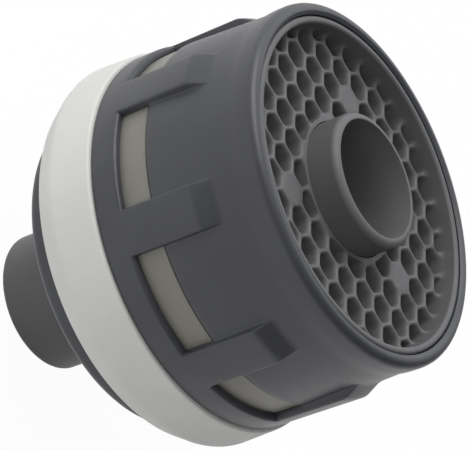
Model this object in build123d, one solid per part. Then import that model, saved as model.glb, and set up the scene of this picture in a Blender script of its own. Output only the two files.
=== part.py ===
from build123d import *
import math
import os

# Tap aerator insert with a water tube through its middle, in millimetres.
# The axis is Z, the outlet faces +Z and the end of the rear spigot lies at Z = 0.

# Lengths along the axis, from the spigot end to the outlet
spigot_length = 6.32        # spigot end to the strainer's rear face
strainer_standout = 1.68    # strainer's rear face to the seal's rear face
seal_length = 3.92          # seal's rear face to the band
band_length = 1.63          # band's rear face to the windows
window_length = 1.77
barrel_length = 6.75        # windows to the front rim
lip_inset = 0.12            # honeycomb's lip behind the housing's rim
comb_recess = 1.03          # honeycomb face behind its lip
tube_standout = 0.77        # tube end in front of the lip

# Housing
band_radius = 10.8
band_wall = 0.42
band_rear_round = 0.2
window_count = 8
window_chamfer = 0.12       # on the band's edge along a window
rib_angle = 13.4            # degrees that a rib spans
rib_height = 0.35           # ribs and band above the barrel
rib_flat_length = 2.58      # windows to the start of a rib's ramp
rib_ramp_length = 1.05
barrel_taper = 0.25         # loss of the barrel's radius from the windows to its waist
rim_bead = 0.07             # growth of the radius from the waist to the rim
waist_to_rim = 1.75
bead_ramp_length = 0.8      # from the waist to the full radius of the rim
barrel_wall = 0.92
screen_seat_width = 0.6
screen_seat_depth = 1.73    # windows to the screen seat
rim_wall = 0.69
rim_round = 0.45
mouth_depth = 0.3           # groove between the rim and the honeycomb's lip

# Honeycomb outlet
cell_pitch = 1.68
cell_wall = 0.34
filled_cell_step = 2        # lattice steps out to a filled cell, along two lattice directions
least_cell_share = 0.12     # smaller remnants of a cut cell stay filled
comb_standoff = 1.15        # front screen to the honeycomb's rear face
comb_margin = 0.04          # plain ring left between the cells and the lip
sleeve_wall = 0.42
lip_round = 0.14
hub_wall = 0.26

# Water tube
tube_radius = 3.8
tube_wall = 0.7
tube_end_round = 0.45
tube_mouth_round = 0.15
spigot_step = 0.18          # spigot beyond the tube's radius
land_step = 0.22            # land in the strainer beyond the spigot
spigot_wall = 1.75
spigot_round = 0.3
bore_cone_length = 2.0
collar_width = 0.85         # collar beyond the tube, from the strainer to the splitter

# Inlet strainer
strainer_plate = 1.0
strainer_wall = 0.9
strainer_edge_round = 0.45
flange_width = 1.21         # flange beyond the strainer's body
flange_thickness = 0.7
slot_count = 24
slot_width = 0.6
slot_land = 0.5             # plain ring left inside the cup's wall
slot_inset = 0.1            # slots' inner ends beyond the tube's collar

# Sealing ring
seal_bulge = 0.3            # seal beyond the band
seal_chamfer_depth = 0.8
seal_chamfer_length = 1.3
seal_edge_round = 0.3

# Jet splitter
splitter_plate = 0.95
skirt_wall = 0.6
air_slit = 0.1              # between the skirt and the barrel, kept open by feet under the ribs
foot_angle = 10.0           # degrees that a foot spans
jet_radius = 0.45
inner_jet_count = 12
outer_jet_count = 18

# Screens
screen_thickness = 0.3
screen_pitch = 1.5
screen_bar = 0.45

# Clearances
slip = 0.05                 # radial gap between pieces that slide into each other
stretch_gap = 0.02          # radial gap of the seal on the strainer

# Places of the ribs about the axis, in degrees
first_rib = -90.0
rib_pitch = 360 / window_count
bay_angle = rib_pitch - rib_angle

# Stations along the axis
strainer_inside_z = spigot_length + strainer_plate
seal_rear_z = spigot_length + strainer_standout
band_rear_z = seal_rear_z + seal_length
splitter_rear_z = band_rear_z + flange_thickness
window_rear_z = band_rear_z + band_length
window_front_z = window_rear_z + window_length
screen_seat_z = window_front_z + screen_seat_depth
comb_seat_z = screen_seat_z + 2 * screen_thickness
rim_z = window_front_z + barrel_length
lip_z = rim_z - lip_inset
comb_face_z = lip_z - comb_recess
tube_end_z = lip_z + tube_standout

# Radii worked out from the driving ones
band_bore_radius = band_radius - band_wall
barrel_radius = band_radius - rib_height
barrel_bore_radius = barrel_radius - barrel_wall
seat_bore_radius = barrel_bore_radius - screen_seat_width
waist_radius = barrel_radius - barrel_taper
rim_radius = waist_radius + rim_bead
sleeve_radius = barrel_bore_radius - slip
sleeve_bore_radius = sleeve_radius - sleeve_wall
hub_bore_radius = tube_radius + slip
hub_radius = hub_bore_radius + hub_wall
spigot_radius = tube_radius + spigot_step
land_radius = spigot_radius + land_step
strainer_hole_radius = land_radius + slip
collar_radius = tube_radius + collar_width
insert_radius = band_bore_radius - slip
strainer_radius = insert_radius - flange_width
skirt_bore_radius = insert_radius - skirt_wall


def eased(radius, wall, share=0.45):
    """Edge round, kept to a share of the wall that it is on."""
    return min(radius, share * wall)


def turned(outline, rounds=None, arc=360.0):
    """Solid of revolution about the axis, from (radius, height) corners and the rounds of some of them."""
    corners = [(radius, 0, height) for radius, height in outline]
    if rounds:
        radii = [rounds.get(index, 0) for index in range(len(outline))]
        line = FilletPolyline(*corners, radius=radii, close=True)
    else:
        line = Polyline(*corners, close=True)
    return revolve(make_face(line), Axis.Z, arc)


def sector(outline, arc):
    """Part of a solid of revolution, centred on the X axis."""
    return Rot(0, 0, -arc / 2) * turned(outline, arc=arc)


def round_the_axis(solid, count, first=0.0):
    """Copies of a solid at equal angles about the axis."""
    return [Rot(0, 0, first + index * 360 / count) * solid for index in range(count)]


def sheet(outer_radius, openings, low, high):
    """Flat ring round the tube, pierced by closed outlines."""
    holes = [Wire.make_circle(hub_bore_radius)] + [opening.wire() for opening in openings]
    face = Face(Wire.make_circle(outer_radius), holes)
    return extrude(Pos(0, 0, low) * face, high - low)


def make_housing():
    """One moulding: a band and ribs on a barrel, with a bay cut between each two ribs."""
    ramp_start_z = window_front_z + rib_flat_length
    ramp_end_z = ramp_start_z + rib_ramp_length
    waist_z = rim_z - waist_to_rim
    ramp_end_share = (ramp_end_z - window_front_z) / (waist_z - window_front_z)
    ramp_end_radius = barrel_radius - barrel_taper * ramp_end_share
    rim_bore_radius = rim_radius - rim_wall
    shell = turned(
        [
            (band_bore_radius, band_rear_z),
            (band_radius, band_rear_z),
            (band_radius, ramp_start_z),
            (ramp_end_radius, ramp_end_z),
            (waist_radius, waist_z),
            (rim_radius, waist_z + bead_ramp_length),
            (rim_radius, rim_z),
            (rim_bore_radius, rim_z),
            (rim_bore_radius, rim_z - mouth_depth),
            (barrel_bore_radius, rim_z - mouth_depth),
            (barrel_bore_radius, screen_seat_z),
            (seat_bore_radius, screen_seat_z),
            (seat_bore_radius, window_front_z),
            (band_bore_radius, window_front_z),
        ],
        {
            1: eased(band_rear_round, band_wall),
            6: eased(rim_round, rim_wall, 0.7),
            7: eased(rim_round / 4, rim_wall, 0.2),
        },
    )
    inside_radius = band_bore_radius - band_wall
    outside_radius = band_radius + band_wall
    bay = sector(
        [
            (inside_radius, window_rear_z),
            (band_radius - window_chamfer, window_rear_z),
            (band_radius, window_rear_z - window_chamfer),
            (outside_radius, window_rear_z - window_chamfer),
            (outside_radius, ramp_end_z),
            (ramp_end_radius, ramp_end_z),
            (barrel_radius, window_front_z),
            (inside_radius, window_front_z),
        ],
        bay_angle,
    )
    return shell - round_the_axis(bay, window_count, first_rib + rib_pitch / 2)


def comb_cells():
    """Openings of the honeycomb: hexagons on a lattice, cut by the hub and the lip."""
    field_radius = sleeve_bore_radius - comb_margin
    field = Circle(field_radius) - Circle(hub_radius)
    cell = RegularPolygon((cell_pitch - cell_wall) / 2, 6, major_radius=False, rotation=30)
    step = filled_cell_step
    filled = [(step, step), (-2 * step, step), (step, -2 * step)]
    reach = math.ceil(sleeve_radius / (cell_pitch * math.cos(math.pi / 6)))
    cells = []
    for row in range(-reach, reach + 1):
        for column in range(-2 * reach, 2 * reach + 1):
            x = (column + row / 2) * cell_pitch
            y = row * cell_pitch * math.cos(math.pi / 6)
            distance = math.hypot(x, y)
            in_field = hub_radius - cell_pitch < distance < field_radius + cell_pitch
            if (column, row) in filled or not in_field:
                continue
            opening = Pos(x, y) * cell
            if not hub_radius + cell_pitch < distance < field_radius - cell_pitch:
                opening = opening & field
            if opening and opening.area > least_cell_share * cell.area:
                cells.append(opening)
    return cells


def make_outlet_honeycomb():
    """Outlet piece: a sleeve that ends in the lip, with the honeycomb web and its hub inside."""
    lip_edge = eased(lip_round, sleeve_wall)
    sleeve = turned(
        [
            (sleeve_bore_radius, comb_seat_z),
            (sleeve_radius, comb_seat_z),
            (sleeve_radius, lip_z),
            (sleeve_bore_radius, lip_z),
        ],
        {2: lip_edge, 3: lip_edge},
    )
    web_radius = sleeve_bore_radius + sleeve_wall / 2
    web = sheet(web_radius, comb_cells(), comb_seat_z + comb_standoff, comb_face_z)
    return sleeve + web


def make_water_tube():
    """Tube with a stepped bore: spigot, collar held between strainer and splitter, open outlet."""
    spigot_bore_radius = spigot_radius - spigot_wall
    bore_radius = tube_radius - tube_wall
    return turned(
        [
            (spigot_bore_radius, 0),
            (spigot_radius, 0),
            (spigot_radius, spigot_length),
            (land_radius, spigot_length),
            (land_radius, strainer_inside_z),
            (collar_radius, strainer_inside_z),
            (collar_radius, splitter_rear_z),
            (tube_radius, splitter_rear_z),
            (tube_radius, tube_end_z),
            (bore_radius, tube_end_z),
            (bore_radius, strainer_inside_z + bore_cone_length),
            (spigot_bore_radius, strainer_inside_z),
        ],
        {
            1: eased(spigot_round, spigot_wall, 0.75),
            8: eased(tube_end_round, tube_wall, 0.65),
            9: eased(tube_mouth_round, tube_wall, 0.25),
        },
    )


def make_inlet_strainer():
    """Cup with a slotted rear plate and a flange that closes the housing's band."""
    inside_radius = strainer_radius - strainer_wall
    cup = turned(
        [
            (strainer_hole_radius, spigot_length),
            (strainer_radius, spigot_length),
            (strainer_radius, band_rear_z),
            (insert_radius, band_rear_z),
            (insert_radius, splitter_rear_z),
            (inside_radius, splitter_rear_z),
            (inside_radius, strainer_inside_z),
            (strainer_hole_radius, strainer_inside_z),
        ],
        {1: eased(strainer_edge_round, strainer_wall, 0.6)},
    )
    slot_start = collar_radius + slot_inset
    slot_end = inside_radius - slot_land
    outline = SlotOverall(slot_end - slot_start, slot_width)
    slot = extrude(Pos((slot_start + slot_end) / 2, 0, spigot_length) * outline, strainer_plate)
    return cup - round_the_axis(slot, slot_count)


def make_sealing_ring():
    """Elastic ring on the strainer's body, chamfered behind and full in front."""
    seal_radius = band_radius + seal_bulge
    seal_bore_radius = strainer_radius + stretch_gap
    return turned(
        [
            (seal_bore_radius, seal_rear_z),
            (seal_radius - seal_chamfer_depth, seal_rear_z),
            (seal_radius, seal_rear_z + seal_chamfer_length),
            (seal_radius, band_rear_z),
            (seal_bore_radius, band_rear_z),
        ],
        {1: seal_edge_round, 2: 2 * seal_edge_round, 3: seal_edge_round},
    )


def make_jet_splitter():
    """Plate with jets, and a skirt behind the windows that stands on feet under the ribs."""
    skirt_end_z = window_front_z - air_slit
    plate_front_z = splitter_rear_z + splitter_plate
    shell = turned(
        [
            (hub_bore_radius, splitter_rear_z),
            (insert_radius, splitter_rear_z),
            (insert_radius, window_front_z),
            (skirt_bore_radius, window_front_z),
            (skirt_bore_radius, plate_front_z),
            (hub_bore_radius, plate_front_z),
        ]
    )
    slit = sector(
        [
            (skirt_bore_radius - skirt_wall, skirt_end_z),
            (insert_radius + skirt_wall, skirt_end_z),
            (insert_radius + skirt_wall, window_front_z + air_slit),
            (skirt_bore_radius - skirt_wall, window_front_z + air_slit),
        ],
        rib_pitch - foot_angle,
    )
    jet = Cylinder(jet_radius, splitter_plate, align=(Align.CENTER, Align.CENTER, Align.MIN))
    ring_spacing = (skirt_bore_radius - hub_bore_radius) / 3
    jets = []
    for ring_number, count in enumerate((inner_jet_count, outer_jet_count), start=1):
        ring_radius = hub_bore_radius + ring_number * ring_spacing
        jets += round_the_axis(Pos(ring_radius, 0, splitter_rear_z) * jet, count)
    return shell - round_the_axis(slit, window_count, first_rib + rib_pitch / 2) - jets


def make_screen(low):
    """Ring-shaped screen with square openings between its rim and the tube."""
    half = (screen_pitch - screen_bar) / 2
    reach = math.ceil(sleeve_radius / screen_pitch)
    places = [index * screen_pitch for index in range(-reach, reach + 1)]
    openings = []
    for x in places:
        for y in places:
            near_corner = math.hypot(max(abs(x) - half, 0), max(abs(y) - half, 0))
            far_corner = math.hypot(abs(x) + half, abs(y) + half)
            if near_corner > hub_bore_radius + screen_bar and far_corner < sleeve_radius - screen_bar:
                openings.append(Pos(x, y) * Rectangle(2 * half, 2 * half))
    return sheet(sleeve_radius, openings, low, low + screen_thickness)


pieces = {
    "housing": make_housing(),
    "outlet_honeycomb": make_outlet_honeycomb(),
    "water_tube": make_water_tube(),
    "inlet_strainer": make_inlet_strainer(),
    "sealing_ring": make_sealing_ring(),
    "jet_splitter": make_jet_splitter(),
    "rear_screen": make_screen(screen_seat_z),
    "front_screen": make_screen(screen_seat_z + screen_thickness),
}

os.makedirs("parts", exist_ok=True)
for name, piece in pieces.items():
    export_step(piece, f"parts/{name}.step")
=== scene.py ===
import math

import bmesh
import bpy
import numpy as np
from mathutils import Matrix, Vector, geometry


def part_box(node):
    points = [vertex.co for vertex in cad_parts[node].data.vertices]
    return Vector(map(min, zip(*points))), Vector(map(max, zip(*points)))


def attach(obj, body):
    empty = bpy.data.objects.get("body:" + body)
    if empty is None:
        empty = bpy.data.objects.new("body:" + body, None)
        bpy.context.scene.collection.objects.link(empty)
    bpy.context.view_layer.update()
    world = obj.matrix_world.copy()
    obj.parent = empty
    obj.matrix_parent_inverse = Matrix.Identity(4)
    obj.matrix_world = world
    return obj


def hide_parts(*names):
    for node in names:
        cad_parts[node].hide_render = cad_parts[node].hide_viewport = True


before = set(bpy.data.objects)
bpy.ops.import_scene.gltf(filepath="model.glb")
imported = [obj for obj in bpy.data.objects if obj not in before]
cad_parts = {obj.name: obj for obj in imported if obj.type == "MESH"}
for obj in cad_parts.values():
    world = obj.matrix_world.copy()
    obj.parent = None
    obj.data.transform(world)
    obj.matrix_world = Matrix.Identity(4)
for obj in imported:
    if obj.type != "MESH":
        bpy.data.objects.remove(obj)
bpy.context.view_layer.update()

# Tap aerator insert, dressed piece by piece. Shapes are worked out in millimetres, with the axis on Z.
MM = 0.001
BODY = "root"


def rear(node):
    """Height of a node's rear end, in millimetres."""
    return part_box(node)[0][2] / MM


def front(node):
    """Height of a node's front end, in millimetres."""
    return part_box(node)[1][2] / MM


def reach(node):
    """Largest radius of a node, in millimetres."""
    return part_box(node)[1][0] / MM


# Stations along the axis and radii that the nodes give
BAND_REAR_Z = rear("housing")
RIM_Z = front("housing")
BAND_RADIUS = reach("housing")
SKIRT_REAR_Z = rear("jet_splitter")
WINDOW_FRONT_Z = front("jet_splitter")
SKIRT_RADIUS = reach("jet_splitter")
SCREEN_SEAT_Z = rear("rear_screen")
COMB_SEAT_Z = rear("outlet_honeycomb")
LIP_Z = front("outlet_honeycomb")
SLEEVE_RADIUS = reach("outlet_honeycomb")
TUBE_END_Z = front("water_tube")
COLLAR_RADIUS = reach("water_tube")
STRAINER_REAR_Z = rear("inlet_strainer")
FLANGE_FRONT_Z = front("inlet_strainer")
SEAL_REAR_Z = rear("sealing_ring")
SEAL_FRONT_Z = front("sealing_ring")
SEAL_RADIUS = reach("sealing_ring")

# Housing
WINDOW_COUNT = 8
RIB_ANGLE = 13.4
FIRST_RIB = -90.0
BAND_BORE = BAND_RADIUS - 0.42
BAND_REAR_ROUND = 0.2
WINDOW_REAR_Z = WINDOW_FRONT_Z - 1.77
WINDOW_ROUND = 0.22
RIB_HEIGHT = 0.35
RIB_FLAT_END_Z = WINDOW_FRONT_Z + 2.58
RIB_RAMP_END_Z = RIB_FLAT_END_Z + 1.05
RIB_END_ROUND = 0.22
RIB_RUN_OUT = 0.1
RIB_EDGE_ROUND = 0.12
RIB_DRAFT = 0.03
RIB_FOOT_ROUND = 0.1
BARREL_RADIUS = BAND_RADIUS - RIB_HEIGHT
BARREL_BORE = BARREL_RADIUS - 0.92
SEAT_BORE = BARREL_BORE - 0.6
WAIST_RADIUS = BARREL_RADIUS - 0.25
WAIST_Z = RIM_Z - 1.75
BEAD_Z = WAIST_Z + 0.8
RIM_RADIUS = WAIST_RADIUS + 0.07
RIM_SLOPE_RADIUS = RIM_RADIUS - 0.55
RIM_SLOPE_END_Z = RIM_Z - 0.13
RIM_ROUND = 0.45
RIM_INNER_ROUND = 0.12
RIM_START_Z = RIM_Z - RIM_ROUND - 0.02

# Columns and rows of the housing's mesh: the turns of its rounds in degrees, the rows of the ribs beside the
# windows as shares of their length, and the (drop, advance) of the barrel's rear edge
RIB_EDGE_TURNS = (0, 22.5, 45, 67.5, 90)
RIB_FOOT_TURNS = (30, 60, 90)
RIB_COLUMNS = 9
BAY_COLUMNS = 17
WINDOW_EDGE_TURNS = (18, 36, 54, 72, 90)
WINDOW_ROWS = (0.2, 0.5, 0.8, 1.0)
BARREL_EDGE = ((0.07, 0.0), (0.02, 0.02), (0.0, 0.07))
RAMP_START_Z = RIB_FLAT_END_Z - RIB_END_ROUND
RAMP_TAIL_Z = RIB_RAMP_END_Z + 0.3
RAMP_ROWS = 23
FLAT_START_Z = WINDOW_FRONT_Z + 0.3
FLAT_STOP_Z = RAMP_START_Z - 0.1
FLAT_ROWS = 5
FRONT_START_Z = RIB_RAMP_END_Z + 0.5
FRONT_ROWS = 9

# Honeycomb outlet
SLEEVE_BORE = SLEEVE_RADIUS - 0.42
COMB_FACE_Z = LIP_Z - 1.03
COMB_REAR_Z = COMB_SEAT_Z + 1.15
LIP_ROUND = 0.18
COMB_FILLET = 0.4
CELL_PITCH = 1.68
CELL_WALL = 0.34
CELL_CORNER = 0.2
CELL_MOUTH_ROUND = 0.15
CELL_MOUTH_DEPTH = 0.34
CELL_MOUTH_TURNS = (90, 67.5, 45, 22.5, 0)
CELL_SIDES = 60
FILLED_STEP = 2
LATTICE_SPAN = 8
LEAST_CELL_SHARE = 0.12
FIELD_RADIUS = SLEEVE_BORE - 0.01
SEED_REACH = CELL_PITCH * 0.6
SEED_STEPS = 49
OUTLINE_HALVINGS = 40

# Water tube
TUBE_RADIUS = COLLAR_RADIUS - 0.85
HUB_BORE = TUBE_RADIUS + 0.05
HUB_RADIUS = HUB_BORE + 0.26
TUBE_BORE = TUBE_RADIUS - 0.7
TUBE_MOUTH = TUBE_RADIUS - 0.45
TUBE_FLARE = 1.8
TUBE_END_ROUND = 0.38
TUBE_MOUTH_ROUND = 0.05
SPIGOT_RADIUS = TUBE_RADIUS + 0.18
LAND_RADIUS = SPIGOT_RADIUS + 0.22
STRAINER_HOLE = LAND_RADIUS + 0.05
SPIGOT_BORE = SPIGOT_RADIUS - 1.75
SPIGOT_ROUND = 0.3
SPIGOT_BORE_ROUND = 0.25
STRAINER_INSIDE_Z = STRAINER_REAR_Z + 1.0
BORE_CONE_END_Z = STRAINER_INSIDE_Z + 2.0

# Strainer and seal
STRAINER_RADIUS = SKIRT_RADIUS - 1.21
STRAINER_BORE = STRAINER_RADIUS - 0.9
STRAINER_FACE_RADIUS = STRAINER_RADIUS - 0.6
STRAINER_ROUND = 0.45
NECK_ROUND = 0.55
NECK_RADIUS = SPIGOT_RADIUS + 0.05
NECK_STEPS = 7
NECK_SEAT_Z = STRAINER_REAR_Z - 0.02
SLOT_COUNT = 24
SLOT_WIDTH = 0.6
SLOT_START = COLLAR_RADIUS + 0.1
SLOT_END = STRAINER_BORE - 0.5
SLOT_END_STEPS = 8
SLOT_MOUTH_ROUND = 0.1
SLOT_MOUTH_TURNS = (90, 60, 30, 0)
SEAL_BORE = STRAINER_RADIUS + 0.02
SEAL_CHAMFER_DEPTH = 0.8
SEAL_CHAMFER_LENGTH = 1.3
SEAL_FRONT_DRAFT = 0.12
SEAL_REAR_ROUND = 0.3
SEAL_CROWN_ROUND = 1.1
SEAL_FRONT_ROUND = 0.14

# Jet splitter and screens
SKIRT_BORE = SKIRT_RADIUS - 0.6
SKIRT_END_Z = WINDOW_FRONT_Z - 0.1
SKIRT_FOOT_Z = SKIRT_END_Z - 0.2
SKIRT_OUTER_ROUND = 0.06
SKIRT_INNER_ROUND = 0.12
SPLITTER_FRONT_Z = SKIRT_REAR_Z + 0.95
FOOT_ANGLE = 10.0
JET_RADIUS = 0.45
JET_COUNTS = (12, 18)
JET_SIDES = 20
WIRE_PITCH = 0.5
WIRE_RADIUS = 0.075

# Meshes: points round a circle, and the shortest distances (plates in millimetres, the others in metres)
RING_STEPS = 252
PLATE_PRECISION = 1e-7
MERGE_DISTANCE = 1e-7
LEAST_EDGE = 1e-8

# Grain of the materials: waves per metre, strength of the bumps, and the range that a noise value fills
TONE_WAVES = 260.0
GRAIN_STRENGTH = 0.35
STEEL_TONE_WAVES = 1500.0
STEEL_GRAIN_WAVES = 9000.0
NOISE_LOW = 0.3
NOISE_HIGH = 0.7

# Floor, in metres, and the share of it that shows as plain white
FLOOR_HALF = 3.0
FLOOR_Z = -0.02 * MM
FLOOR_TONE = (0.9, 0.9, 0.9, 1)
FLOOR_ROUGHNESS = 0.8
FLOOR_WHITE_SHARE = 0.96


def soft_step(value, width):
    """The larger of value and 0, with a rounded corner that is twice the width across."""
    if value <= -width:
        return 0.0
    if value >= width:
        return value
    return (value + width) ** 2 / (4 * width)


def lies_inside(spots, outline):
    """Tells which of the (x, y) spots lie inside a closed outline."""
    inside = np.zeros(len(spots), bool)
    near = np.all((spots > outline.min(axis=0)) & (spots < outline.max(axis=0)), axis=1)
    x, y = spots[near].T
    crossed = np.zeros(len(x), bool)
    for start, end in zip(outline, np.roll(outline, -1, axis=0)):
        beside = (start[1] > y) != (end[1] > y)
        rise = end[1] - start[1]
        if rise:
            crossed ^= beside & (x < start[0] + (y - start[1]) * (end[0] - start[0]) / rise)
    inside[near] = crossed
    return inside


class Shell:
    """Points and faces of one piece, in millimetres."""

    def __init__(self):
        self.points = []
        self.faces = []

    def row(self, points):
        """Adds points and gives their numbers."""
        start = len(self.points)
        self.points.extend(points)
        return list(range(start, len(self.points)))

    def strip(self, first, second):
        """Joins two closed rows of equal length with quads."""
        count = len(first)
        for index in range(count):
            after = (index + 1) % count
            self.faces.append((first[index], first[after], second[after], second[index]))

    def rows(self, rows):
        """Joins each row to the next one."""
        for first, second in zip(rows, rows[1:]):
            self.strip(first, second)

    def plate(self, inner, outer, loops, height):
        """Fills the ring between two rows, but for the loops in it."""
        borders = [outer, inner] + loops
        numbers = [number for border in borders for number in border]
        flat = [Vector(self.points[number][:2]) for number in numbers]
        edges = []
        start = 0
        for border in borders:
            count = len(border)
            edges += [(start + index, start + (index + 1) % count) for index in range(count)]
            start += count
        made, _, faces, came_from, _, _ = geometry.delaunay_2d_cdt(flat, edges, [], 0, PLATE_PRECISION)
        back = []
        for point, source in zip(made, came_from):
            if source:
                back.append(numbers[source[0]])
            else:
                back += self.row([(*point, height(point.length))])
        spots = np.array([np.mean([made[corner] for corner in face], axis=0) for face in faces])
        outlines = [np.array([self.points[number][:2] for number in border]) for border in borders]
        filled = lies_inside(spots, outlines[0])
        for outline in outlines[1:]:
            filled &= ~lies_inside(spots, outline)
        for face, is_filled in zip(faces, filled):
            if is_filled:
                self.faces.append(tuple(back[corner] for corner in face))


def ring(radius, height, steps=RING_STEPS):
    """Points of a circle about the axis."""
    turn = 2 * math.pi / steps
    return [
        (radius * math.cos(index * turn), radius * math.sin(index * turn), height)
        for index in range(steps)
    ]


def rounded(corners, rounds, closed=True, steps=5):
    """(radius, height) corners with some of them rounded."""
    line = []
    count = len(corners)
    for index, corner in enumerate(corners):
        size = rounds.get(index, 0)
        if not size or (not closed and index in (0, count - 1)):
            line.append(corner)
            continue
        here = Vector(corner)
        before = (Vector(corners[index - 1]) - here).normalized()
        after = (Vector(corners[(index + 1) % count]) - here).normalized()
        half = before.angle(after) / 2
        centre = here + (before + after).normalized() * (size / math.sin(half))
        start = here + before * (size / math.tan(half)) - centre
        end = here + after * (size / math.tan(half)) - centre
        span = start.angle(end)
        for step in range(steps + 1):
            share = step / steps
            spoke = (start * math.sin((1 - share) * span) + end * math.sin(share * span)) / math.sin(span)
            line.append(tuple(centre + spoke))
    return line


def turned(shell, line, closed=True):
    """Turns a (radius, height) line about the axis and gives its rows."""
    rows = [shell.row(ring(radius, height)) for radius, height in line]
    shell.rows(rows)
    if closed:
        shell.strip(rows[-1], rows[0])
    return rows


def make_piece(name, shell, material, nodes, sharp_angle=40.0):
    """Object from a shell, smooth but for its sharp edges, in the place of its nodes."""
    mesh = bpy.data.meshes.new(name)
    mesh.from_pydata([Vector(point) * MM for point in shell.points], [], shell.faces)
    work = bmesh.new()
    work.from_mesh(mesh)
    bmesh.ops.remove_doubles(work, verts=work.verts, dist=MERGE_DISTANCE)
    bmesh.ops.dissolve_degenerate(work, edges=work.edges, dist=LEAST_EDGE)
    bmesh.ops.recalc_face_normals(work, faces=work.faces)
    work.to_mesh(mesh)
    work.free()
    mesh.polygons.foreach_set("use_smooth", [True] * len(mesh.polygons))
    mesh.set_sharp_from_angle(angle=math.radians(sharp_angle))
    mesh.materials.append(material)
    piece = bpy.data.objects.new(name, mesh)
    bpy.context.scene.collection.objects.link(piece)
    weighted = piece.modifiers.new("even_normals", "WEIGHTED_NORMAL")
    weighted.keep_sharp = True
    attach(piece, BODY)
    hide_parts(*nodes)
    return piece


def smooth(share):
    """Share from 0 to 1, eased at both ends."""
    share = min(max(share, 0.0), 1.0)
    return share * share * (3 - 2 * share)


def barrel(height):
    """Radius of the barrel between the ribs: tapered to a waist, then grown to the rim."""
    taper = min(max(height - WINDOW_FRONT_Z, 0.0) / (WAIST_Z - WINDOW_FRONT_Z), 1.0)
    bead = smooth((height - WAIST_Z) / (BEAD_Z - WAIST_Z))
    return BARREL_RADIUS + (WAIST_RADIUS - BARREL_RADIUS) * taper + (RIM_RADIUS - WAIST_RADIUS) * bead


def rib_rise(height):
    """Height of a rib above the barrel: flat, then a ramp that runs out."""
    slope = (BAND_RADIUS - barrel(RIB_RAMP_END_Z)) / (RIB_RAMP_END_Z - RIB_FLAT_END_Z)
    top = BAND_RADIUS - slope * soft_step(height - RIB_FLAT_END_Z, RIB_END_ROUND)
    return soft_step(top - barrel(height), RIB_RUN_OUT)


def housing_columns():
    """(angle, share of the rib's height, part) of each column round the housing."""
    per_mm = math.degrees(1 / BAND_RADIUS)
    edge = RIB_ANGLE / 2
    side = []
    for turn in RIB_EDGE_TURNS:
        across = RIB_EDGE_ROUND * (math.sin(math.radians(turn)) - 1)
        drop = RIB_EDGE_ROUND * (1 - math.cos(math.radians(turn)))
        side.append((edge + across * per_mm, 1 - drop / RIB_HEIGHT, "edge"))
    side.append((edge + RIB_DRAFT * per_mm, RIB_FOOT_ROUND / RIB_HEIGHT, "wall"))
    for turn in RIB_FOOT_TURNS:
        across = RIB_DRAFT + RIB_FOOT_ROUND * (1 - math.cos(math.radians(turn)))
        height = RIB_FOOT_ROUND * (1 - math.sin(math.radians(turn)))
        side.append((edge + across * per_mm, height / RIB_HEIGHT, "bay"))
    rib_start = side[0][0]
    rib = [(angle, 1.0, "rib") for angle in np.linspace(-rib_start, rib_start, RIB_COLUMNS)[1:-1]]
    pitch = 360 / WINDOW_COUNT
    bay_start = side[-1][0]
    bay_angles = np.linspace(bay_start, pitch - bay_start, BAY_COLUMNS)[1:-1]
    bay = [(angle, 0.0, "bay") for angle in bay_angles]
    mirrored = [(-angle, share, part) for angle, share, part in reversed(side)]
    period = mirrored + rib + side + bay
    return [
        (FIRST_RIB + number * pitch + angle, share, part)
        for number in range(WINDOW_COUNT)
        for angle, share, part in period
    ]


def join_walls(shell, columns, outer, inner):
    """Sides of the windows between two rows: from the foot of each rib's wall down to the bore."""
    for index, (_, _, part) in enumerate(columns):
        if part == "wall":
            shell.faces.append((outer[0][index], outer[1][index], inner[1][index], inner[0][index]))


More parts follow.
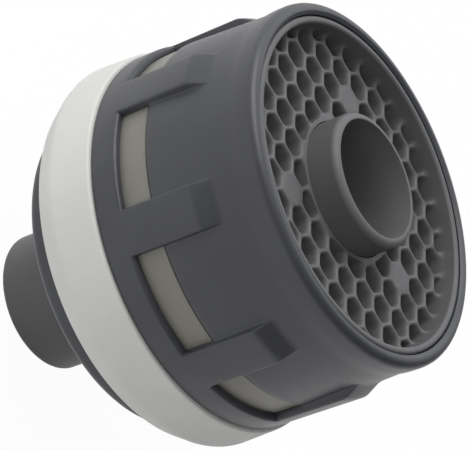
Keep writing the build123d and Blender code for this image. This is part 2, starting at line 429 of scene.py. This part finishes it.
def make_housing(material):
    """Band, ribs and barrel as one moulding, with windows between the ribs."""
    shell = Shell()
    columns = housing_columns()
    count = len(columns)
    solid = [part != "bay" for _, _, part in columns]

    def row(height, radius_at):
        """One point per column, at the radius for its share of a rib and its part."""
        points = []
        for angle, share, part in columns:
            radius = radius_at(share, part)
            turn = math.radians(angle)
            points.append((radius * math.cos(turn), radius * math.sin(turn), height))
        return shell.row(points)

    def join(first, second, over_ribs=True, over_bays=True):
        """Joins two rows with quads, over the ribs, the bays between them or both."""
        for index in range(count):
            after = (index + 1) % count
            in_rib = solid[index] and solid[after]
            if (in_rib and over_ribs) or (not in_rib and over_bays):
                shell.faces.append((first[index], first[after], second[after], second[index]))

    # Band, all round
    band_line = rounded(
        [
            (BAND_BORE, BAND_REAR_Z),
            (BAND_RADIUS, BAND_REAR_Z),
            (BAND_RADIUS, WINDOW_REAR_Z - WINDOW_ROUND),
        ],
        {1: BAND_REAR_ROUND},
        closed=False,
    )
    band = [row(height, lambda share, part, radius=radius: radius) for radius, height in band_line]
    for first, second in zip(band, band[1:]):
        join(first, second)

    # Band edge along a window, and the start of the ribs beside it
    def on_window_edge(drop):
        """Radius on the round between the band and a window, or on the rib beside it."""

        def radius_at(share, part):
            if part in ("bay", "wall"):
                return BAND_RADIUS - WINDOW_ROUND * drop
            return BAND_RADIUS - (1 - share) * RIB_HEIGHT * drop

        return radius_at

    window_edge = [band[-1]]
    for turn in WINDOW_EDGE_TURNS:
        ahead = math.sin(math.radians(turn))
        drop = 1 - math.cos(math.radians(turn))
        window_edge.append(row(WINDOW_REAR_Z - WINDOW_ROUND * (1 - ahead), on_window_edge(drop)))
    for first, second in zip(window_edge, window_edge[1:]):
        join(first, second)

    # Ribs past the windows
    window_length = WINDOW_FRONT_Z - WINDOW_REAR_Z
    window_heights = [WINDOW_REAR_Z + share * window_length for share in WINDOW_ROWS]
    rib_rows = [window_edge[-1]]
    for height in window_heights:
        rib_rows.append(row(height, lambda share, part: BARREL_RADIUS + share * RIB_HEIGHT))
    for first, second in zip(rib_rows, rib_rows[1:]):
        join(first, second, over_bays=False)
    bore_rows = [row(height, lambda share, part: BAND_BORE) for height in [WINDOW_REAR_Z] + window_heights]
    for inner, outer in zip(zip(bore_rows, bore_rows[1:]), zip(rib_rows, rib_rows[1:])):
        join(*inner, over_bays=False)
        join_walls(shell, columns, outer, inner)
    join(band[0], bore_rows[0])
    join(window_edge[-1], bore_rows[0], over_ribs=False)

    # Barrel: its rear edge, the ribs' ramps and the rim
    barrel_rows = []
    for drop, ahead in BARREL_EDGE:
        height = WINDOW_FRONT_Z + ahead

        def radius_at(share, part, height=height, drop=drop):
            return barrel(height) + share * rib_rise(height) - (drop if part == "bay" else 0)

        barrel_rows.append(row(height, radius_at))
    flat_heights = np.linspace(FLAT_START_Z, FLAT_STOP_Z, FLAT_ROWS)
    ramp_heights = np.linspace(RAMP_START_Z, RAMP_TAIL_Z, RAMP_ROWS)
    front_heights = np.linspace(FRONT_START_Z, RIM_START_Z, FRONT_ROWS)
    for height in (*flat_heights, *ramp_heights, *front_heights):
        barrel_rows.append(
            row(height, lambda share, part, height=height: barrel(height) + share * rib_rise(height))
        )
    rim_line = rounded(
        [
            (RIM_RADIUS, RIM_START_Z),
            (RIM_RADIUS, RIM_Z),
            (RIM_SLOPE_RADIUS, RIM_Z),
            (BARREL_BORE, RIM_SLOPE_END_Z),
            (BARREL_BORE, SCREEN_SEAT_Z),
            (SEAT_BORE, SCREEN_SEAT_Z),
            (SEAT_BORE, WINDOW_FRONT_Z),
        ],
        {1: RIM_ROUND, 2: RIM_INNER_ROUND},
        closed=False,
    )
    for radius, height in rim_line[1:]:
        barrel_rows.append(row(height, lambda share, part, radius=radius: radius))
    join(rib_rows[-1], barrel_rows[0], over_bays=False)
    for first, second in zip(barrel_rows, barrel_rows[1:]):
        join(first, second)
    ledge = row(WINDOW_FRONT_Z, lambda share, part: BAND_BORE)
    join(ledge, barrel_rows[-1])
    join(barrel_rows[0], ledge, over_ribs=False)
    join(bore_rows[-1], ledge, over_bays=False)
    return make_piece("housing_body", shell, material, ["housing"])


def cell_distance(points, centre, grow=0.0):
    """Signed distance to a cell's outline: a grown hexagon with soft corners, cut by sleeve and hub."""
    apothem = (CELL_PITCH - CELL_WALL) / 2 + grow
    distances = []
    for side in range(6):
        turn = math.radians(60 * side)
        normal = np.array((math.cos(turn), math.sin(turn)))
        distances.append((points - centre) @ normal - apothem)
    from_axis = np.hypot(points[..., 0], points[..., 1])
    distances.append(from_axis - FIELD_RADIUS)
    distances.append(HUB_RADIUS - from_axis)
    raised = np.stack(distances) + CELL_CORNER
    outside = np.sqrt(np.sum(np.maximum(raised, 0) ** 2, axis=0))
    return np.minimum(raised.max(axis=0), 0) + outside - CELL_CORNER


def cell_places():
    """Centres of the open cells on the lattice."""
    step = FILLED_STEP
    filled = [(step, step), (-2 * step, step), (step, -2 * step)]
    places = []
    for line in range(-LATTICE_SPAN, LATTICE_SPAN + 1):
        for column in range(-2 * LATTICE_SPAN, 2 * LATTICE_SPAN + 1):
            if (column, line) not in filled:
                x = (column + line / 2) * CELL_PITCH
                y = line * CELL_PITCH * math.cos(math.pi / 6)
                places.append(np.array((x, y)))
    return places


def cell_seed(centre):
    """Middle of the open part of a cell, and that part's share of a whole cell."""
    side = np.linspace(-SEED_REACH, SEED_REACH, SEED_STEPS)
    grid = np.stack(np.meshgrid(side, side), axis=-1) + centre
    distance = cell_distance(grid, centre)
    inside = distance < 0
    if not inside.any():
        return centre, 0.0
    whole = 2 * math.sqrt(3) * ((CELL_PITCH - CELL_WALL) / 2) ** 2
    area = inside.sum() * (side[1] - side[0]) ** 2
    weights = np.where(inside, distance, 0) ** 2
    seed = (grid * weights[..., None]).sum(axis=(0, 1)) / weights.sum()
    return seed, area / whole


def cell_loop(centre, seed, grow):
    """Outline of a grown cell, found along rays from its seed."""
    turns = np.linspace(0, 2 * math.pi, CELL_SIDES, endpoint=False)
    rays = np.stack((np.cos(turns), np.sin(turns)), axis=-1)
    near = np.zeros(CELL_SIDES)
    far = np.full(CELL_SIDES, CELL_PITCH)
    for _ in range(OUTLINE_HALVINGS):
        middle = (near + far) / 2
        outside = cell_distance(seed + rays * middle[:, None], centre, grow) > 0
        far = np.where(outside, middle, far)
        near = np.where(outside, near, middle)
    return seed + rays * near[:, None]


def comb_height(radius):
    """Height of the honeycomb's face, which runs up into the sleeve in a hollow round."""
    across = min(max(radius - SLEEVE_BORE + COMB_FILLET, 0.0), COMB_FILLET)
    return COMB_FACE_Z + COMB_FILLET - math.sqrt(COMB_FILLET ** 2 - across ** 2)


def make_honeycomb(material):
    """Outlet piece: a sleeve with a lip, and a pierced web whose cells have rounded mouths."""
    shell = Shell()
    sleeve_line = rounded(
        [
            (SLEEVE_BORE, COMB_REAR_Z),
            (SLEEVE_BORE, COMB_SEAT_Z),
            (SLEEVE_RADIUS, COMB_SEAT_Z),
            (SLEEVE_RADIUS, LIP_Z),
            (SLEEVE_BORE, LIP_Z),
            (SLEEVE_BORE, COMB_FACE_Z + COMB_FILLET),
        ],
        {3: LIP_ROUND, 4: LIP_ROUND},
        closed=False,
    )
    sleeve = turned(shell, sleeve_line, closed=False)
    hub = turned(shell, [(HUB_BORE, COMB_REAR_Z), (HUB_BORE, COMB_FACE_Z)], closed=False)
    top_loops = []
    rear_loops = []
    for centre in cell_places():
        seed, share = cell_seed(centre)
        if share < LEAST_CELL_SHARE:
            continue
        rows = []
        for turn in CELL_MOUTH_TURNS:
            out = CELL_MOUTH_ROUND * (1 - math.cos(math.radians(turn)))
            down = CELL_MOUTH_DEPTH * (1 - math.sin(math.radians(turn)))
            loop = cell_loop(centre, seed, out)
            rows.append(shell.row([(x, y, comb_height(math.hypot(x, y)) - down) for x, y in loop]))
        loop = cell_loop(centre, seed, 0.0)
        rows.append(shell.row([(x, y, COMB_REAR_Z) for x, y in loop]))
        shell.rows(rows)
        top_loops.append(rows[0])
        rear_loops.append(rows[-1])

    shell.plate(hub[1], sleeve[-1], top_loops, comb_height)
    shell.plate(hub[0], sleeve[0], rear_loops, lambda radius: COMB_REAR_Z)
    return make_piece("honeycomb_outlet", shell, material, ["outlet_honeycomb"])


def make_tube(material):
    """Tube from the spigot to the outlet, with a stepped bore that opens a little at its mouth."""
    shell = Shell()
    line = rounded(
        [
            (SPIGOT_BORE, 0),
            (SPIGOT_RADIUS, 0),
            (SPIGOT_RADIUS, STRAINER_REAR_Z),
            (LAND_RADIUS, STRAINER_REAR_Z),
            (LAND_RADIUS, STRAINER_INSIDE_Z),
            (COLLAR_RADIUS, STRAINER_INSIDE_Z),
            (COLLAR_RADIUS, FLANGE_FRONT_Z),
            (TUBE_RADIUS, FLANGE_FRONT_Z),
            (TUBE_RADIUS, TUBE_END_Z),
            (TUBE_MOUTH, TUBE_END_Z),
            (TUBE_BORE, TUBE_END_Z - TUBE_FLARE),
            (TUBE_BORE, BORE_CONE_END_Z),
            (SPIGOT_BORE, STRAINER_INSIDE_Z),
        ],
        {0: SPIGOT_BORE_ROUND, 1: SPIGOT_ROUND, 8: TUBE_END_ROUND, 9: TUBE_MOUTH_ROUND},
        steps=7,
    )
    turned(shell, line)
    return make_piece("tube", shell, material, ["water_tube"])


def slot_loop(number, grow):
    """Outline of one of the strainer's slots, grown by a length."""
    half = SLOT_WIDTH / 2 + grow
    turn = math.radians(number * 360 / SLOT_COUNT)
    outline = []
    for middle, start in ((SLOT_END - SLOT_WIDTH / 2, -90), (SLOT_START + SLOT_WIDTH / 2, 90)):
        for step in range(SLOT_END_STEPS + 1):
            angle = math.radians(start + step * 180 / SLOT_END_STEPS)
            outline.append((middle + half * math.cos(angle), half * math.sin(angle)))
    return [
        (x * math.cos(turn) - y * math.sin(turn), x * math.sin(turn) + y * math.cos(turn))
        for x, y in outline
    ]


def make_strainer(material):
    """Cup with a slotted rear plate and a flange."""
    shell = Shell()
    outer_line = rounded(
        [
            (STRAINER_FACE_RADIUS, STRAINER_REAR_Z),
            (STRAINER_RADIUS, STRAINER_REAR_Z),
            (STRAINER_RADIUS, SEAL_FRONT_Z),
            (SKIRT_RADIUS, SEAL_FRONT_Z),
            (SKIRT_RADIUS, FLANGE_FRONT_Z),
            (STRAINER_BORE, FLANGE_FRONT_Z),
            (STRAINER_BORE, STRAINER_INSIDE_Z),
        ],
        {1: STRAINER_ROUND},
        closed=False,
    )
    outer = turned(shell, outer_line, closed=False)
    neck_line = [
        (STRAINER_HOLE, STRAINER_INSIDE_Z),
        (STRAINER_HOLE, NECK_SEAT_Z),
        (NECK_RADIUS, NECK_SEAT_Z),
    ]
    for step in range(NECK_STEPS + 1):
        turn = math.radians(step * 90 / NECK_STEPS)
        across = NECK_ROUND * (1 - math.cos(turn))
        neck_line.append((NECK_RADIUS + across, STRAINER_REAR_Z - NECK_ROUND * (1 - math.sin(turn))))
    neck = turned(shell, neck_line, closed=False)
    rear_loops = []
    front_loops = []
    for number in range(SLOT_COUNT):
        rows = []
        for turn in SLOT_MOUTH_TURNS:
            out = SLOT_MOUTH_ROUND * (1 - math.cos(math.radians(turn)))
            ahead = SLOT_MOUTH_ROUND * (1 - math.sin(math.radians(turn)))
            rows.append(shell.row([(x, y, STRAINER_REAR_Z + ahead) for x, y in slot_loop(number, out)]))
        rows.append(shell.row([(x, y, STRAINER_INSIDE_Z) for x, y in slot_loop(number, 0.0)]))
        shell.rows(rows)
        rear_loops.append(rows[0])
        front_loops.append(rows[-1])

    shell.plate(neck[-1], outer[0], rear_loops, lambda radius: STRAINER_REAR_Z)
    shell.plate(neck[0], outer[-1], front_loops, lambda radius: STRAINER_INSIDE_Z)
    return make_piece("strainer", shell, material, ["inlet_strainer"])


def make_seal(material):
    """Elastic ring, chamfered behind and a little crowned."""
    shell = Shell()
    line = rounded(
        [
            (SEAL_BORE, SEAL_REAR_Z),
            (SEAL_RADIUS - SEAL_CHAMFER_DEPTH, SEAL_REAR_Z),
            (SEAL_RADIUS, SEAL_REAR_Z + SEAL_CHAMFER_LENGTH),
            (SEAL_RADIUS - SEAL_FRONT_DRAFT, SEAL_FRONT_Z),
            (SEAL_BORE, SEAL_FRONT_Z),
        ],
        {1: SEAL_REAR_ROUND, 2: SEAL_CROWN_ROUND, 3: SEAL_FRONT_ROUND},
        steps=8,
    )
    turned(shell, line)
    return make_piece("seal", shell, material, ["sealing_ring"])


def skirt_rise(x, y):
    """Height of the skirt's end above the air slit: feet stand under the ribs."""
    pitch = 360 / WINDOW_COUNT
    turn = math.degrees(math.atan2(y, x)) - FIRST_RIB
    from_rib = abs(turn - pitch * round(turn / pitch))
    return WINDOW_FRONT_Z - SKIRT_END_Z if from_rib < FOOT_ANGLE / 2 else 0.0


def make_splitter(material):
    """Plate with jets, and a skirt with a rounded end behind the windows."""
    shell = Shell()
    skirt_line = rounded(
        [
            (SKIRT_RADIUS, SKIRT_REAR_Z),
            (SKIRT_RADIUS, SKIRT_END_Z),
            (SKIRT_BORE, SKIRT_END_Z),
            (SKIRT_BORE, SPLITTER_FRONT_Z),
        ],
        {1: SKIRT_OUTER_ROUND, 2: SKIRT_INNER_ROUND},
        closed=False,
    )
    skirt = []
    for radius, height in skirt_line:
        points = ring(radius, height)
        if height > SKIRT_FOOT_Z:
            points = [(x, y, z + skirt_rise(x, y)) for x, y, z in points]
        skirt.append(shell.row(points))
    shell.rows(skirt)
    hub = turned(shell, [(HUB_BORE, SKIRT_REAR_Z), (HUB_BORE, SPLITTER_FRONT_Z)], closed=False)
    spacing = (SKIRT_BORE - HUB_BORE) / (len(JET_COUNTS) + 1)
    centres = []
    for number, count in enumerate(JET_COUNTS, start=1):
        centres += [point[:2] for point in ring(HUB_BORE + number * spacing, 0, count)]
    rear_loops = []
    front_loops = []
    for x, y in centres:
        outline = [(x + dx, y + dy) for dx, dy, _ in ring(JET_RADIUS, 0, JET_SIDES)]
        low = shell.row([(*point, SKIRT_REAR_Z) for point in outline])
        high = shell.row([(*point, SPLITTER_FRONT_Z) for point in outline])
        shell.strip(low, high)
        rear_loops.append(low)
        front_loops.append(high)

    shell.plate(hub[0], skirt[0], rear_loops, lambda radius: SKIRT_REAR_Z)
    shell.plate(hub[1], skirt[-1], front_loops, lambda radius: SPLITTER_FRONT_Z)
    return make_piece("splitter", shell, material, ["jet_splitter"])


def wire_runs(offset):
    """Start and end of the pieces of a wire that lies beside the middle: the tube's hole splits some."""
    outer = math.sqrt((SLEEVE_RADIUS - WIRE_RADIUS) ** 2 - offset ** 2)
    hole = HUB_BORE + WIRE_RADIUS
    if abs(offset) >= hole:
        return [(-outer, outer)]
    inner = math.sqrt(hole ** 2 - offset ** 2)
    return [(-outer, -inner), (inner, outer)]


def make_screen(name, node, material):
    """Woven wire disc round the tube."""
    shell = Shell()
    middle = (rear(node) + front(node)) / 2
    half = WIRE_RADIUS * math.cos(math.pi / 4)
    section = ((half, half), (half, -half), (-half, -half), (-half, half))
    reach_out = int(SLEEVE_RADIUS / WIRE_PITCH)
    for number in range(-reach_out, reach_out + 1):
        offset = number * WIRE_PITCH
        for start, end in wire_runs(offset):
            steps = max(2, round((end - start) / WIRE_PITCH * 2))
            for crosswise in (False, True):
                side = (-1) ** number * (-1 if crosswise else 1)
                rows = []
                for along in np.linspace(start, end, steps + 1):
                    wave = side * WIRE_RADIUS * math.cos(math.pi * along / WIRE_PITCH)
                    points = []
                    for across, rise in section:
                        flat = (offset + across, along) if crosswise else (along, offset + across)
                        points.append((*flat, middle + wave + rise))
                    rows.append(shell.row(points))
                shell.rows(rows)
                shell.faces.append(tuple(rows[0]))
                shell.faces.append(tuple(rows[-1]))
    return make_piece(name, shell, material, [node], sharp_angle=120.0)


class Nodes:
    """Node tree of one material, with short calls to add and link nodes."""

    def __init__(self, name):
        self.material = bpy.data.materials.new(name)
        self.material.use_nodes = True
        self.tree = self.material.node_tree
        self.shader = self.tree.nodes["Principled BSDF"]

    def add(self, kind, **inputs):
        """Adds a node with constant inputs, an underscore for each space in their names."""
        node = self.tree.nodes.new(kind)
        for name, value in inputs.items():
            node.inputs[name.replace("_", " ")].default_value = value
        return node

    def link(self, source, target):
        """Links an output to an input."""
        self.tree.links.new(source, target)

    def larger(self, first, second):
        """Output that gives the larger one of two others."""
        node = self.add("ShaderNodeMath")
        node.operation = "MAXIMUM"
        self.link(first, node.inputs[0])
        self.link(second, node.inputs[1])
        return node.outputs[0]


def noise(nodes, coordinates, scale, detail=3.0, roughness=0.55):
    """Noise of a scale given in waves per metre."""
    node = nodes.add("ShaderNodeTexNoise", Scale=scale, Detail=detail, Roughness=roughness)
    nodes.link(coordinates, node.inputs["Vector"])
    return node.outputs["Fac"]


def spread(nodes, value, low, high):
    """A noise value mapped to a range."""
    node = nodes.add("ShaderNodeMapRange", From_Min=NOISE_LOW, From_Max=NOISE_HIGH, To_Min=low, To_Max=high)
    nodes.link(value, node.inputs["Value"])
    return node.outputs["Result"]


def two_tones(nodes, value, dark, pale):
    """Base colour that a noise value moves between two close tones."""
    tone = nodes.add("ShaderNodeMix")
    tone.data_type = "RGBA"
    tone.inputs["A"].default_value = (*dark, 1)
    tone.inputs["B"].default_value = (*pale, 1)
    nodes.link(spread(nodes, value, 0.0, 1.0), tone.inputs["Factor"])
    nodes.link(tone.outputs["Result"], nodes.shader.inputs["Base Color"])


def moulded(name, dark, pale, roughness, grain, grain_depth, specular):
    """Moulded material: two close tones, uneven gloss and a fine grain."""
    nodes = Nodes(name)
    place = nodes.add("ShaderNodeTexCoord").outputs["Object"]
    two_tones(nodes, noise(nodes, place, TONE_WAVES), dark, pale)
    fine = noise(nodes, place, grain, detail=2.0)
    nodes.link(spread(nodes, fine, *roughness), nodes.shader.inputs["Roughness"])
    bump = nodes.add("ShaderNodeBump", Strength=GRAIN_STRENGTH, Distance=grain_depth * MM)
    nodes.link(fine, bump.inputs["Height"])
    nodes.link(bump.outputs["Normal"], nodes.shader.inputs["Normal"])
    nodes.shader.inputs["Specular IOR Level"].default_value = specular
    return nodes.material


def brushed_steel(name, dark, pale, roughness):
    """Stainless wire: metal of two close tones, with uneven gloss."""
    nodes = Nodes(name)
    place = nodes.add("ShaderNodeTexCoord").outputs["Object"]
    two_tones(nodes, noise(nodes, place, STEEL_TONE_WAVES), dark, pale)
    fine = noise(nodes, place, STEEL_GRAIN_WAVES)
    nodes.link(spread(nodes, fine, *roughness), nodes.shader.inputs["Roughness"])
    nodes.shader.inputs["Metallic"].default_value = 1.0
    return nodes.material


def make_floor():
    """Wide pale floor that shows white to the camera and keeps the shadow."""
    mesh = bpy.data.meshes.new("floor")
    signs = ((-1, -1), (1, -1), (1, 1), (-1, 1))
    mesh.from_pydata([(x * FLOOR_HALF, y * FLOOR_HALF, FLOOR_Z) for x, y in signs], [], [(0, 1, 2, 3)])
    floor = bpy.data.objects.new("floor", mesh)
    bpy.context.scene.collection.objects.link(floor)
    nodes = Nodes("pale_floor")
    nodes.shader.inputs["Base Color"].default_value = FLOOR_TONE
    nodes.shader.inputs["Roughness"].default_value = FLOOR_ROUGHNESS
    glow = nodes.add("ShaderNodeEmission", Strength=1.0)
    path = nodes.add("ShaderNodeLightPath").outputs
    seen = nodes.larger(path["Is Camera Ray"], path["Is Glossy Ray"])
    share = nodes.add("ShaderNodeMath")
    share.operation = "MULTIPLY"
    share.inputs[1].default_value = FLOOR_WHITE_SHARE
    nodes.link(nodes.larger(seen, path["Is Transmission Ray"]), share.inputs[0])
    mix = nodes.add("ShaderNodeMixShader")
    nodes.link(share.outputs[0], mix.inputs[0])
    nodes.link(nodes.shader.outputs[0], mix.inputs[1])
    nodes.link(glow.outputs[0], mix.inputs[2])
    nodes.link(mix.outputs[0], nodes.tree.nodes["Material Output"].inputs["Surface"])
    mesh.materials.append(nodes.material)


# Camera: turned about its line of sight, so that the standing object lies as in the photograph
AZIMUTH = math.radians(10.3)
ELEVATION = math.radians(30.4)
ROLL = math.radians(69.29)
AIM_HEIGHT = 11.83
AIM_RIGHT = 1.249
AIM_UP = 0.85
CAMERA_DISTANCE = 150.0
LENS = 209.1
SENSOR_WIDTH = 36.0
CLIP_RANGE = (0.01, 50.0)

BACK = Vector(
    (
        math.sin(AZIMUTH) * math.cos(ELEVATION),
        -math.cos(AZIMUTH) * math.cos(ELEVATION),
        math.sin(ELEVATION),
    )
)
LEVEL_RIGHT = Vector((math.cos(AZIMUTH), math.sin(AZIMUTH), 0))
LEVEL_UP = BACK.cross(LEVEL_RIGHT)
RIGHT = LEVEL_RIGHT * math.cos(ROLL) + LEVEL_UP * math.sin(ROLL)
UP = LEVEL_UP * math.cos(ROLL) - LEVEL_RIGHT * math.sin(ROLL)
AXIS = Vector((0, 0, 1))

# Lights: their colours, and between which shares of a direction the studio light changes
WARM_WHITE = (1.0, 0.99, 0.97)
COOL_WHITE = (0.97, 0.99, 1.0)
STUDIO_WHITE = (0.99, 1.0, 1.0)
UPPER_RANGE = (-0.2, 0.85)
CAMERA_RANGE = (0.5, 0.96)


def make_camera():
    """Camera at the photograph's angle."""
    data = bpy.data.cameras.new("camera")
    data.lens = LENS
    data.sensor_width = SENSOR_WIDTH
    data.clip_start, data.clip_end = CLIP_RANGE
    camera = bpy.data.objects.new("camera", data)
    aim = AXIS * AIM_HEIGHT + RIGHT * AIM_RIGHT + UP * AIM_UP
    place = (aim + BACK * CAMERA_DISTANCE) * MM
    turn = Matrix((RIGHT, UP, BACK)).transposed().to_4x4()
    camera.matrix_world = Matrix.Translation(place) @ turn
    bpy.context.scene.collection.objects.link(camera)
    bpy.context.scene.camera = camera


def make_lamp(name, direction, distance, size, power, colour, mirrored=True):
    """Soft square lamp that shines on the object from a direction, and is mirrored in it or not."""
    data = bpy.data.lights.new(name, "AREA")
    data.size = size * MM
    data.energy = power
    data.color = colour
    lamp = bpy.data.objects.new(name, data)
    lamp.location = (AXIS * AIM_HEIGHT + direction.normalized() * distance) * MM
    lamp.rotation_euler = direction.to_track_quat("Z", "Y").to_euler()
    lamp.visible_glossy = mirrored
    bpy.context.scene.collection.objects.link(lamp)


def make_world(colour, low, high, camera_side):
    """Studio light that grows towards the top of the picture and is weaker on the camera's side."""
    world = bpy.data.worlds.new("studio")
    world.use_nodes = True
    tree = world.node_tree
    way = tree.nodes.new("ShaderNodeTexCoord").outputs["Generated"]

    def along(direction, span, at_start, at_end):
        """Value that eases from one to another along a direction."""
        dot = tree.nodes.new("ShaderNodeVectorMath")
        dot.operation = "DOT_PRODUCT"
        dot.inputs[1].default_value = direction
        tree.links.new(way, dot.inputs[0])
        ease = tree.nodes.new("ShaderNodeMapRange")
        ease.interpolation_type = "SMOOTHSTEP"
        ease.inputs["From Min"].default_value = span[0]
        ease.inputs["From Max"].default_value = span[1]
        ease.inputs["To Min"].default_value = at_start
        ease.inputs["To Max"].default_value = at_end
        tree.links.new(dot.outputs["Value"], ease.inputs["Value"])
        return ease.outputs["Result"]

    strength = tree.nodes.new("ShaderNodeMath")
    strength.operation = "MULTIPLY"
    tree.links.new(along(UP, UPPER_RANGE, low, high), strength.inputs[0])
    tree.links.new(along(BACK, CAMERA_RANGE, 1.0, camera_side), strength.inputs[1])
    background = tree.nodes["Background"]
    background.inputs["Color"].default_value = (*colour, 1)
    tree.links.new(strength.outputs[0], background.inputs["Strength"])
    bpy.context.scene.world = world


DARK_PLASTIC = moulded(
    "dark_plastic_look",
    dark=(0.037, 0.0385, 0.046),
    pale=(0.046, 0.048, 0.057),
    roughness=(0.36, 0.46),
    grain=9000.0,
    grain_depth=0.02,
    specular=0.5,
)
# The housing's dark plastic again, painted lighter: a paler tone that stands in for light in the honeycomb's
# shaded cells and on the tube
DARK_PLASTIC_PAINTED_LIGHTER = moulded(
    "dark_plastic_painted_lighter_look",
    dark=(0.105, 0.1065, 0.111),
    pale=(0.122, 0.1235, 0.1285),
    roughness=(0.45, 0.55),
    grain=9000.0,
    grain_depth=0.02,
    specular=0.3,
)
WHITE_RUBBER = moulded(
    "white_rubber_look",
    dark=(0.565, 0.57, 0.555),
    pale=(0.60, 0.605, 0.59),
    roughness=(0.55, 0.66),
    grain=7000.0,
    grain_depth=0.02,
    specular=0.3,
)
BEIGE_PLASTIC = moulded(
    "beige_plastic_look",
    dark=(0.155, 0.15, 0.131),
    pale=(0.19, 0.184, 0.161),
    roughness=(0.4, 0.5),
    grain=8000.0,
    grain_depth=0.01,
    specular=0.5,
)
STEEL = brushed_steel("steel_look", dark=(0.52, 0.52, 0.51), pale=(0.6, 0.6, 0.59), roughness=(0.3, 0.45))

make_housing(DARK_PLASTIC)
make_honeycomb(DARK_PLASTIC_PAINTED_LIGHTER)
make_tube(DARK_PLASTIC_PAINTED_LIGHTER)
make_strainer(DARK_PLASTIC)
make_seal(WHITE_RUBBER)
make_splitter(BEIGE_PLASTIC)
make_screen("screen_rear", "rear_screen", STEEL)
make_screen("screen_front", "front_screen", STEEL)

make_floor()
make_camera()
make_world(STUDIO_WHITE, low=0.14, high=1.0, camera_side=0.26)
make_lamp(
    "key", UP * 0.6 + BACK * 0.1 + AXIS * 0.45, distance=320.0, size=220.0, power=0.62, colour=WARM_WHITE
)
make_lamp(
    "edge", RIGHT * 0.8 + UP * 0.4 - BACK * 0.45, distance=300.0, size=250.0, power=0.13, colour=COOL_WHITE
)
make_lamp(
    "front", BACK + AXIS * 0.15, distance=320.0, size=300.0, power=0.37, colour=WARM_WHITE, mirrored=False
)
bpy.context.scene.view_settings.view_transform = "Standard"
